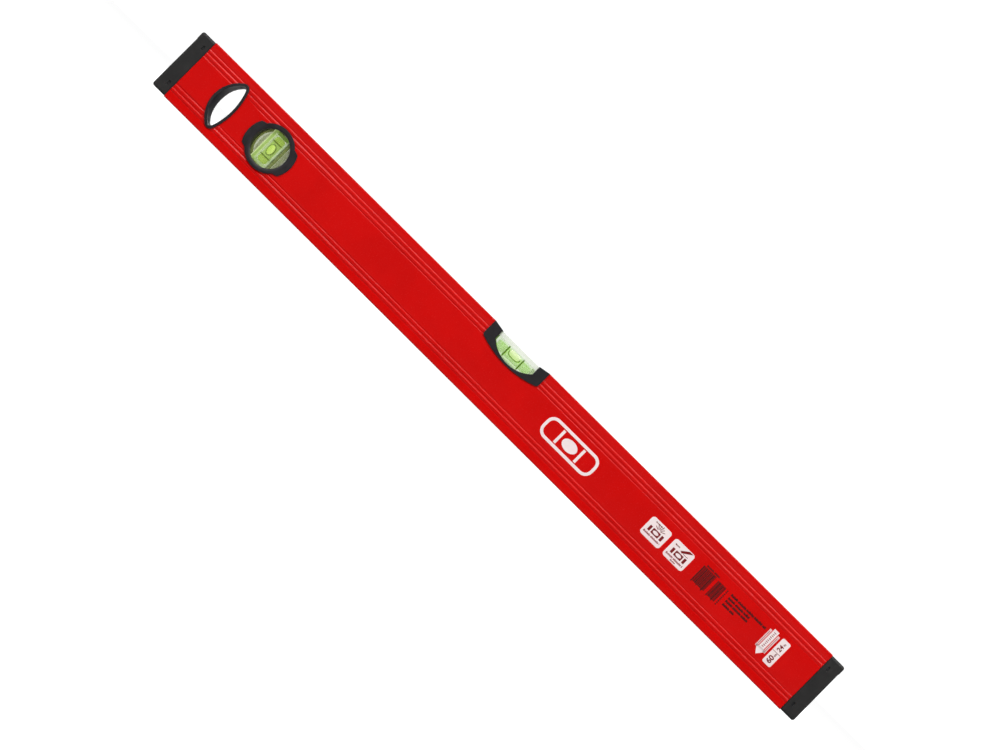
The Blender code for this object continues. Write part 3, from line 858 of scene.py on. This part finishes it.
@dataclass
class Bubble:
    """A gas bubble: long, blunt at its ends and flatter than it is wide."""

    node: str
    body: Body
    along: Along
    bluntness: float
    # inside is the bubble's base colour, deep the painted highlight colour of its lighter side, and rim the
    # colour of its painted dark rim
    inside: Colour
    deep: Colour
    rim: Colour
    width: float
    open_top: bool = False
    inner_squareness: float = 0.25
    wall_squareness: float = 1.0
    hold: float = 0.15

    def build(self) -> None:
        """Makes the bubble in its CAD node's place."""
        low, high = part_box(self.node)
        size, middle = high - low, (low + high) / 2
        if self.along is Along.X:
            extent = Vector((size.x, self.width, size.z))
        else:
            extent = Vector((self.width, size.y, size.z))
        mesh = bmesh.new()
        bmesh.ops.create_uvsphere(mesh, u_segments=40, v_segments=28, radius=1)
        for vert in mesh.verts:
            self.shape(vert)
        if self.along is Along.X:
            lying = Matrix(((0, 0, 1), (-1, 0, 0), (0, -1, 0)))
            bmesh.ops.rotate(mesh, verts=mesh.verts, matrix=lying)
        bmesh.ops.scale(mesh, verts=mesh.verts, vec=extent / 2)
        bmesh.ops.translate(mesh, verts=mesh.verts, vec=middle)
        bmesh.ops.recalc_face_normals(mesh, faces=mesh.faces)
        half_length = extent[self.along.value] / 2
        half_width = extent[2 - self.along.value] / 2
        finish = BubbleGas(
            f"{self.node}_gas", middle, half_length, half_width, self.along, self.bluntness, self.inside,
            self.deep, self.rim, self.open_top,
        )
        piece = settle(mesh, f"{self.node}_gas", [finish.material()], self.body)
        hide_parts(self.node)

    def shape(self, vert: bmesh.types.BMVert) -> None:
        """Moves a point of a unit ball with upright poles to a bubble's form, with its wall side at -Y.

        Args:
            vert: The point to move.
        """
        long = min(abs(vert.co.z), 1.0)
        girth = math.sqrt(1 - long * long)
        if girth < 0.01:
            return
        wide, out = vert.co.x / girth, vert.co.y / girth
        squareness = self.inner_squareness if out > 0 else self.wall_squareness
        wide = math.copysign(abs(wide) ** squareness, wide)
        out = math.copysign(abs(out) ** squareness, out)
        swollen = math.sqrt(1 - long**self.bluntness)
        held = swollen**self.hold
        if self.along is Along.X:
            vert.co.x, vert.co.y = wide * held, out * swollen
        else:
            vert.co.x, vert.co.y = wide * swollen, out * held


@dataclass
class VialKit:
    """What both vials are made of: a bored block, a full barrel of spirit, a plug and two reading rings."""

    name: str
    along: Along
    rings: tuple[str, str]
    rounding: float = 0.35 * MM
    end_rounding: float = 1.6 * MM
    end_facets: int = 6
    round_facets: int = 48
    bore_reach: float = 4.7 * MM
    spirit_radius: float = 3.6 * MM

    def ring_middles(self) -> tuple[Vector, ...]:
        """The middle of each reading ring."""
        return tuple(sum(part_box(f"{self.name}_line_{ring}"), Vector()) / 2 for ring in self.rings)

    def line_at(self) -> float:
        """How far each reading ring lies from the barrel's middle."""
        first, second = self.ring_middles()
        return (second - first)[self.along.value] / 2

    def middle(self) -> Vector:
        """The point on the bore's axis halfway between the reading rings."""
        first, second = self.ring_middles()
        return (first + second) / 2

    def build_block(self, acrylic: Material, bore: Material) -> None:
        """Makes the block, with its bore's wall in a clearer finish.

        Args:
            acrylic: The material of the outside.
            bore: The material of the bore's wall.
        """
        mesh = merged_copy(f"{self.name}_vial_block")
        round_over(mesh, self.rounding)
        axis = self.middle()
        for face in mesh.faces:
            away = face.calc_center_median() - axis
            away[self.along.value] = 0
            face.material_index = int(away.length < self.bore_reach and face.normal.dot(away) < 0)
        piece = settle(mesh, f"{self.name}_block", [acrylic, bore], Body.LEVEL)
        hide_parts(f"{self.name}_vial_block")

    def build_liquid(self, spirit: Material) -> None:
        """Makes the spirit as a full barrel with rounded ends.

        Args:
            spirit: Its material.
        """
        low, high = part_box(f"{self.name}_vial_liquid")
        length = (high - low)[self.along.value]
        radii = {"radius1": self.spirit_radius, "radius2": self.spirit_radius}
        mesh = bmesh.new()
        bmesh.ops.create_cone(mesh, cap_ends=True, segments=self.round_facets, depth=length, **radii)
        rims = [e for e in mesh.edges if abs(e.verts[0].co.z - e.verts[1].co.z) < 0.5 * length]
        bevel(mesh, rims, self.end_rounding, self.end_facets)
        if self.along is Along.X:
            bmesh.ops.rotate(mesh, verts=mesh.verts, matrix=Matrix.Rotation(math.pi / 2, 3, "Y"))
        centre = self.middle()
        centre[self.along.value] = (low + high)[self.along.value] / 2
        bmesh.ops.translate(mesh, verts=mesh.verts, vec=centre)
        piece = settle(mesh, f"{self.name}_spirit", [spirit], Body.LEVEL)
        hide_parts(f"{self.name}_vial_liquid")

    def build_fittings(self, plug: Material, ink: Material) -> None:
        """Makes the plug and the reading rings.

        Args:
            plug: The plug's material.
            ink: The rings' material.
        """
        name = self.name
        finished_copy(f"{name}_vial_plug", f"{name}_plug", plug, Body.LEVEL, Slot.ACRYLIC)
        for ring in self.rings:
            finished_copy(f"{name}_line_{ring}", f"{name}_ring_{ring}", ink, Body.LEVEL, Slot.LINE)


@dataclass
class Vials:
    """The plumb vial behind its two round windows and the centre vial in its housing."""

    band_under_top: float = 3.4 * MM
    lens_rounding: float = 0.15 * MM
    # colour of the bubbles' painted dark rims
    outline: Colour = srgb(6, 48, 0)

    def build(self) -> None:
        """Makes every piece of both vials."""
        self.bore = ClearPlastic("bore_wall", srgb(150, 190, 60), srgb(180, 214, 90), 0.04).material()
        self.plug = ClearPlastic("plug_acrylic", srgb(176, 210, 84), srgb(200, 226, 110), 0.3).material()
        self.ink = PrintInk("reading_line_green", srgb(14, 44, 2), srgb(22, 56, 4)).material()
        self.build_plumb()
        self.build_centre()

    def build_plumb(self) -> None:
        """Makes the plumb vial and its windows."""
        kit = VialKit("plumb", Along.Z, ("lower", "upper"))
        low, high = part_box("plumb_vial_block")
        strip = (high.x - low.x) / 2, (high.z - low.z) / 2
        kit.build_block(DyedAcrylic("plumb_acrylic", kit.middle(), strip[0]).material(), self.bore)
        kit.build_liquid(VialLiquid("plumb_spirit", kit.middle(), Along.Z, kit.line_at()).material())
        kit.build_fittings(self.plug, self.ink)
        lens = WindowPlastic("lens_polycarbonate", kit.middle(), strip).material()
        for side in ("front", "rear"):
            names = f"plumb_lens_{side}", f"plumb_window_{side}"
            finished_copy(*names, lens, Body.LEVEL, Slot.ACRYLIC, self.lens_rounding)
        # the bubble's base colour, painted highlight colour and painted dark rim colour
        Bubble(
            "plumb_bubble", Body.PLUMB_BUBBLE, Along.Z, 2.2, srgb(196, 226, 100), srgb(226, 246, 150),
            self.outline, 5.9 * MM, wall_squareness=0.85,
        ).build()

    def build_centre(self) -> None:
        """Makes the centre vial."""
        kit = VialKit("centre", Along.X, ("left", "right"), spirit_radius=3.3 * MM)
        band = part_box("centre_vial_block")[1].z - self.band_under_top
        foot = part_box("centre_vial_liquid")[0].z
        kit.build_block(BandedAcrylic("centre_acrylic", band, foot).material(), self.bore)
        spirit = VialLiquid(
            "centre_spirit", kit.middle(), Along.X, kit.line_at(), srgb(182, 232, 104), srgb(158, 208, 76)
        )
        kit.build_liquid(spirit.material())
        kit.build_fittings(self.plug, self.ink)
        # the bubble's base colour, painted highlight colour and painted dark rim colour
        Bubble(
            "centre_bubble", Body.CENTRE_BUBBLE, Along.X, 3.4, srgb(232, 250, 184), srgb(252, 255, 226),
            self.outline, 7.0 * MM, open_top=True,
        ).build()


# Prints


class Stencil:
    """Flat shapes of one ink on the printed face, drawn in millimetres along X and up Z, then thickened."""

    BOLDNESS = 0.03
    CORNER_FACETS = 5
    OVAL_FACETS = 28
    STROKE_WIDTHS = (0.95, 0.6, 0.8, 0.5, 1.05, 0.7, 0.6)
    STROKE_RISES = (1.0, 0.74, 0.8, 1.0, 0.76)
    STROKES_PER_WORD = 8
    STROKE_GAP = 0.12
    WORD_GAP = 0.6

    def __init__(self, name: str, under: float, thickness: float) -> None:
        """Starts a print.

        Args:
            name: The piece's name.
            under: How far above the rail's face its underside lies, in metres.
            thickness: Its thickness in metres.
        """
        self.name = name
        self.under = under
        self.thickness = thickness
        self.mesh = bmesh.new()

    def shape(self, points: Sequence[tuple[float, float]], corner: float = 0.0) -> None:
        """Adds a filled outline, with rounded corners if asked.

        Args:
            points: The outline's corners, anticlockwise.
            corner: How far from each corner its rounding starts.
        """
        corners = [self.mesh.verts.new((x * MM, z * MM, 0)) for x, z in points]
        self.mesh.faces.new(corners)
        if corner:
            bevel(self.mesh, corners, corner * MM, self.CORNER_FACETS, "VERTICES")

    def bar(self, left: float, right: float, low: float, high: float, corner: float = 0.0) -> None:
        """Adds an upright rectangle between these edges."""
        self.shape([(left, low), (right, low), (right, high), (left, high)], corner)

    def oval(self, x: float, z: float, wide: float, high: float) -> None:
        """Adds a filled ellipse.

        Args:
            x: Its middle along the rail.
            z: Its middle above the working edge.
            wide: Its width.
            high: Its height.
        """
        size = Matrix.Diagonal((wide * MM / 2, high * MM / 2, 1, 1))
        place = Matrix.Translation((x * MM, z * MM, 0)) @ size
        bmesh.ops.create_circle(self.mesh, cap_ends=True, segments=self.OVAL_FACETS, radius=1, matrix=place)

    def hollow(self, left: float, right: float, low: float, high: float, corner: float, wall: float) -> None:
        """Adds the outline of a rounded rectangle as a line of the given width.

        Args:
            left: Its left edge.
            right: Its right edge.
            low: Its lower edge.
            high: Its upper edge.
            corner: The rounding of its corners.
            wall: The line's width.
        """
        known = set(self.mesh.faces)
        self.bar(left, right, low, high, corner)
        panel = [face for face in self.mesh.faces if face not in known]
        bmesh.ops.inset_region(
            self.mesh, faces=panel, thickness=wall * MM, use_boundary=True, use_even_offset=True
        )
        bmesh.ops.delete(self.mesh, geom=panel, context="FACES")

    def words(self, text: str, x: float, z: float, height: float) -> None:
        """Adds plain lettering that reads upwards, centred on a point.

        Args:
            text: What it says.
            x: Its middle along the rail.
            z: Its middle above the working edge.
            height: The size of the type.
        """
        curve = bpy.data.curves.new(self.name, "FONT")
        curve.body = text
        curve.size = height * MM
        curve.align_x, curve.align_y = "CENTER", "CENTER"
        curve.offset = self.BOLDNESS * height * MM
        holder = bpy.data.objects.new(self.name, curve)
        flat = bpy.data.meshes.new_from_object(holder)
        spin = Matrix.Rotation(math.pi / 2, 4, "Z")
        flat.transform(Matrix.Translation((x * MM, z * MM, 0)) @ spin)
        self.mesh.from_mesh(flat)
        bpy.data.objects.remove(holder)
        bpy.data.curves.remove(curve)
        bpy.data.meshes.remove(flat)

    def small_print(self, left: float, length: float, foot: float, tall: float) -> None:
        """Adds a row of short strokes that stands in for small lettering.

        Args:
            left: Where the row starts.
            length: How long it is.
            foot: The strokes' lower edge.
            tall: The tallest stroke's height.
        """
        at, number = left, 0
        while at < left + length:
            stroke = self.STROKE_WIDTHS[number % len(self.STROKE_WIDTHS)]
            width = min(stroke, left + length - at + 0.1)
            rise = tall * self.STROKE_RISES[number % len(self.STROKE_RISES)]
            self.bar(at, at + width, foot, foot + rise)
            ends_word = number % self.STROKES_PER_WORD == self.STROKES_PER_WORD - 2
            at, number = at + width + (self.WORD_GAP if ends_word else self.STROKE_GAP), number + 1

    def print_on(self, face_y: float, finish: Material) -> Piece:
        """Thickens the shapes and lays them on the rail's face.

        Args:
            face_y: Where the face lies.
            finish: The ink's material.

        Returns:
            The piece.
        """
        bmesh.ops.remove_doubles(self.mesh, verts=self.mesh.verts, dist=MERGE_DISTANCE)
        made = bmesh.ops.extrude_face_region(self.mesh, geom=self.mesh.faces[:], use_keep_orig=True)
        raised = [part for part in made["geom"] if isinstance(part, bmesh.types.BMVert)]
        bmesh.ops.translate(self.mesh, verts=raised, vec=(0, 0, self.thickness))
        bmesh.ops.recalc_face_normals(self.mesh, faces=self.mesh.faces)
        stand = Matrix(((1, 0, 0, 0), (0, 0, -1, face_y - self.under), (0, 1, 0, 0), (0, 0, 0, 1)))
        bmesh.ops.transform(self.mesh, matrix=stand, verts=self.mesh.verts)
        return settle(self.mesh, self.name, [finish], Body.LEVEL)


@dataclass
class Prints:
    """The prints on the rail's front face, in millimetres from the rail's middle and its working edge."""

    film: float = 0.05 * MM
    ink: float = 0.03 * MM
    lift: float = 0.01 * MM
    mark: tuple[float, float, float, float] = (45.2, 91.3, 16.8, 33.4)
    labels: tuple[tuple[float, float], ...] = ((139.9, 157.4), (160.8, 178.6))
    label_rows: tuple[float, float] = (17.9, 32.3)
    code: tuple[float, float, float, float] = (186.6, 207.4, 19.5, 32.4)
    code_gap: tuple[float, float] = (11.9, 14.2)
    code_bars: tuple[float, ...] = (0.75, 0.4, 0.55, 0.4, 0.9, 0.5, 0.4, 0.65)
    code_spaces: tuple[float, ...] = (0.18, 0.26, 0.14)
    code_strip_rows: int = 9
    code_strip_pitch: float = 1.45
    lines: tuple[tuple[float, float], ...] = ((30.3, 31.6), (27.5, 19.1), (24.9, 19.7), (22.0, 10.0))
    lines_from: float = 212.8
    line_height: float = 1.75
    arrow: tuple[float, float, float, float] = (246.5, 255.4, 14.8, 35.4)
    size: tuple[float, float, float, float] = (257.0, 264.2, 14.5, 35.1)

    def build(self) -> None:
        """Makes every print."""
        self.face_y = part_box("rail")[0].y
        self.white = PrintInk("print_white", srgb(255, 242, 242), srgb(250, 228, 228)).material()
        self.dark = PrintInk("print_dark_red", srgb(118, 12, 18), srgb(136, 20, 26)).material()
        self.black = PrintInk("print_black", srgb(50, 2, 3), srgb(66, 4, 5)).material()
        self.grey = PrintInk("print_grey", srgb(150, 74, 78), srgb(168, 96, 98)).material()
        self.build_mark()
        for place, (left, right) in enumerate(self.labels):
            self.build_label(place, left, right)
        self.build_code()
        self.build_arrow()
        self.build_size()

    def build_mark(self) -> None:
        """Makes the white vial pictogram: a rounded frame with two reading lines and a bubble."""
        left, right, low, high = self.mark
        middle = (left + right) / 2
        mark = Stencil("mark_vial", self.lift, self.ink)
        mark.hollow(left, right, low, high, 6.4, 2.1)
        for side in (-1, 1):
            at = middle + side * 9.2
            mark.bar(at - 1.0, at + 1.0, low + 2.9, high - 2.9)
        mark.oval(middle, (low + high) / 2, 12.4, 8.2)
        mark.print_on(self.face_y, self.white)

    def build_label(self, place: int, left: float, right: float) -> None:
        """Makes a label with a vial sign, and rays or a tilted blade over it.

        Args:
            place: The label's number, from 0.
            left: Its left edge.
            right: Its right edge.
        """
        low, high = self.label_rows
        film = Stencil(f"label_{place + 1}_film", self.lift, self.film)
        film.bar(left, right, low, high, 2.1)
        film.print_on(self.face_y, self.white)
        over = self.lift + self.film
        sign = Stencil(f"label_{place + 1}_sign", over, self.ink)
        middle = (left + right) / 2 + 0.2
        foot, head = low + 4.7, low + 8.6
        for side in (-1, 1):
            sign.bar(middle + side * 5.2 - 0.95, middle + side * 5.2 + 0.95, foot, head)
        sign.bar(middle - 3.2, middle + 3.2, foot, head, 0.4)
        if place == 0:
            self.draw_rays(sign, Vector((middle + 0.6, head + 0.4)))
            sign.small_print(left + 4.0, 6.8, high - 2.2, 0.8)
        else:
            grip = [(middle - 1.3, head + 1.5), (middle + 0.3, head + 0.7)]
            sign.shape([*grip, (right - 1.7, high - 0.5), (right - 5.0, high - 0.5)])
            sign.small_print(left + 2.4, 3.8, head + 2.2, 0.9)
            sign.bar(middle + 1.6, middle + 5.6, head + 0.9, head + 1.25)
        sign.print_on(self.face_y, self.dark)
        gap = Stencil(f"label_{place + 1}_window", over + self.ink, self.ink)
        gap.oval(middle, (foot + head) / 2, 4.5, 2.3)
        gap.print_on(self.face_y, self.white)
        notes = Stencil(f"label_{place + 1}_notes", over, self.ink)
        notes.small_print(left + 1.4, right - left - 3.2, low + 2.3, 1.35)
        if place:
            notes.small_print(middle - 2.2, 4.2, low + 0.7, 1.0)
        notes.print_on(self.face_y, self.grey)

    @staticmethod
    def draw_rays(sign: Stencil, root: Vector) -> None:
        """Adds a fan of rays over a point.

        Args:
            sign: The print to add it to.
            root: The point that the rays spread from.
        """
        for turn in range(6):
            angle = math.radians(22 + 27 * turn)
            along = Vector((math.cos(angle), math.sin(angle)))
            across = Vector((-along.y, along.x)) * 0.22
            start, end = root + along * 1.2, root + along * (4.6 - 0.5 * (turn % 2))
            sign.shape([tuple(p) for p in (start - across, end - across, end + across, start + across)])

    def build_code(self) -> None:
        """Makes the bar code in two groups, the strip beside it and the rows of fine print, all illegible."""
        left, right, low, high = self.code
        gap_from, gap_to = (left + edge for edge in self.code_gap)
        code = Stencil("bar_code", self.lift, self.ink)
        at, number = left, 0
        while at < right:
            width = self.code_bars[number % len(self.code_bars)]
            if not gap_from < at + width < gap_to:
                foot = low - (0.9 if number % 6 == 0 else 0.0)
                head = high - (0.7 if at > left + 12 else 0.0)
                code.bar(at, at + width, foot, head)
            at, number = at + width + self.code_spaces[number % len(self.code_spaces)], number + 1
        code.small_print(left + 1.6, 11.2, high + 0.6, 1.2)
        for row in range(self.code_strip_rows):
            foot = low - 0.6 + self.code_strip_pitch * row
            code.bar(right + 1.5, right + 2.5, foot, foot + 0.9)
        for foot, length in self.lines:
            code.small_print(self.lines_from, length, foot - 0.1, self.line_height)
        code.print_on(self.face_y, self.black)

    def build_arrow(self) -> None:
        """Makes the white arrow towards the working edge, with a strip on each side of its shaft."""
        left, right, low, high = self.arrow
        middle, shoulder = (left + right) / 2, low + 5.2
        arrow = Stencil("edge_arrow", self.lift, self.ink)
        arrow.shape([(middle, low), (middle + 4.1, shoulder), (middle - 4.1, shoulder)])
        arrow.bar(middle - 2.1, middle + 2.1, shoulder - 0.3, high)
        arrow.print_on(self.face_y, self.white)
        strips = Stencil("edge_strips", self.lift, self.ink)
        for at in (left + 0.95, right - 0.95):
            strips.bar(at - 0.9, at + 0.9, shoulder - 1.2, high - 1.9)
        pale = PrintInk("print_pale", srgb(246, 206, 206), srgb(240, 188, 188)).material()
        strips.print_on(self.face_y, pale)
        over = self.lift + self.ink
        strokes = Stencil("edge_strokes", over, self.ink)
        for row in range(10):
            foot = shoulder + 1.4 + 1.3 * row
            start, end = middle - 0.9 + 0.2 * (row % 3), middle + 0.7 + 0.25 * (row % 2)
            strokes.bar(start, end, foot, foot + 0.55)
        for at in (left + 0.95, right - 0.95):
            strokes.bar(at - 0.15, at + 0.15, shoulder + 0.4, high - 3.4)
        strokes.print_on(self.face_y, self.grey)

    def build_size(self) -> None:
        """Makes the size label, with the length in centimetres and in inches."""
        left, right, low, high = self.size
        film = Stencil("size_film", self.lift, self.film)
        film.bar(left, right, low, high, 1.3)
        film.print_on(self.face_y, self.white)
        over = self.lift + self.film
        middle = (left + right) / 2
        size = Stencil("size_figures", over, self.ink)
        size.words("60", middle, low + 4.4, 5.2)
        size.words("cm", middle + 0.5, low + 8.7, 2.2)
        size.words("24", middle, low + 14.1, 4.4)
        size.words("in", middle + 0.4, low + 17.8, 2.2)
        size.bar(left + 0.3, right - 0.3, low + 10.2, low + 10.5)
        size.print_on(self.face_y, self.dark)


# Studio


@dataclass
class Studio:
    """A white table, a white surround, soft lamps and the camera."""

    floor_size: float = 14.0
    lens: float = 87.0
    distance: float = 1.6107
    yaw: float = 2.0
    roll: float = 44.84
    aim: tuple[float, float, float] = (0.0019, 0.0, 0.0262)
    drop: float = 0.4 * MM

    def build(self) -> None:
        """Sets up the floor, surround, lamps and camera."""
        bpy.context.scene.view_settings.view_transform = "Standard"
        self.build_floor()
        self.build_surround()
        self.build_lamps()
        self.build_camera()

    def build_floor(self) -> None:
        """Makes the table that the level stands on."""
        mesh = bmesh.new()
        bmesh.ops.create_grid(mesh, x_segments=4, y_segments=4, size=self.floor_size / 2)
        data = bpy.data.meshes.new("floor")
        mesh.to_mesh(data)
        mesh.free()
        made = Recipe("floor_white", Base_Color=(0.45, 0.45, 0.45), Roughness=0.9, Specular_IOR_Level=0.0)
        made.shader.inputs["Emission Color"].default_value = (1, 1, 1, 1)
        seen = made.node("ShaderNodeLightPath", {}, {}).outputs["Is Camera Ray"]
        glow = made.node("ShaderNodeMapRange", {}, {"Value": seen, "To Min": 0.05, "To Max": 0.95})
        made.feed("Emission Strength", glow.outputs["Result"])
        data.materials.append(made.material)
        floor = bpy.data.objects.new("floor", data)
        floor.location.z = -self.drop
        bpy.context.scene.collection.objects.link(floor)

    def build_surround(self) -> None:
        """Makes the even surround: white where it is seen, softer as a light."""
        world = bpy.data.worlds.new("surround")
        world.use_nodes = True
        tree = world.node_tree
        backdrop = tree.nodes["Background"]
        backdrop.inputs["Color"].default_value = (1, 1, 1, 1)
        seen = tree.nodes.new("ShaderNodeLightPath")
        strength = tree.nodes.new("ShaderNodeMapRange")
        strength.inputs["To Min"].default_value = 0.06
        strength.inputs["To Max"].default_value = 1.1
        tree.links.new(seen.outputs["Is Camera Ray"], strength.inputs["Value"])
        tree.links.new(strength.outputs["Result"], backdrop.inputs["Strength"])
        bpy.context.scene.world = world

    def build_lamps(self) -> None:
        """Hangs a large soft key, a fill and a back light."""
        for name, where, size, power in (
            ("key", (0.0, -1.15, 1.35), (2.4, 0.36), 29.0),
            ("left_fill", (-1.7, -1.1, 0.7), (0.9, 0.9), 9.0),
            ("right_fill", (1.7, -1.0, 0.7), (0.9, 0.9), 5.0),
            ("back", (0.3, 1.5, 1.2), (2.2, 0.8), 24.0),
        ):
            data = bpy.data.lights.new(name, "AREA")
            data.shape = "RECTANGLE"
            data.size, data.size_y = size
            data.energy = power
            lamp = bpy.data.objects.new(name, data)
            lamp.location = where
            lamp.rotation_euler = (-Vector(where)).to_track_quat("-Z", "Y").to_euler()
            bpy.context.scene.collection.objects.link(lamp)

    def build_camera(self) -> None:
        """Places the camera in front of the printed face, turned so that the level runs down to the right."""
        yaw, roll = math.radians(self.yaw), math.radians(self.roll)
        back = Vector((math.sin(yaw), -math.cos(yaw), 0))
        across, up = Vector((math.cos(yaw), math.sin(yaw), 0)), Vector((0, 0, 1))
        right = across * math.cos(roll) + up * math.sin(roll)
        above = up * math.cos(roll) - across * math.sin(roll)
        data = bpy.data.cameras.new("camera")
        data.lens = self.lens
        camera = bpy.data.objects.new("camera", data)
        turn = Matrix((right, above, back)).transposed().to_4x4()
        camera.matrix_world = Matrix.Translation(Vector(self.aim) + back * self.distance) @ turn
        bpy.context.scene.collection.objects.link(camera)
        bpy.context.scene.camera = camera


def main() -> None:
    """Builds the level and its studio."""
    logging.basicConfig(level=logging.INFO, format="%(name)s: %(message)s")
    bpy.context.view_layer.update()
    for assembly in (Rail(), Trims(), EndCaps(), Vials(), Prints(), Studio()):
        assembly.build()


if __name__ == "__main__":
    main()
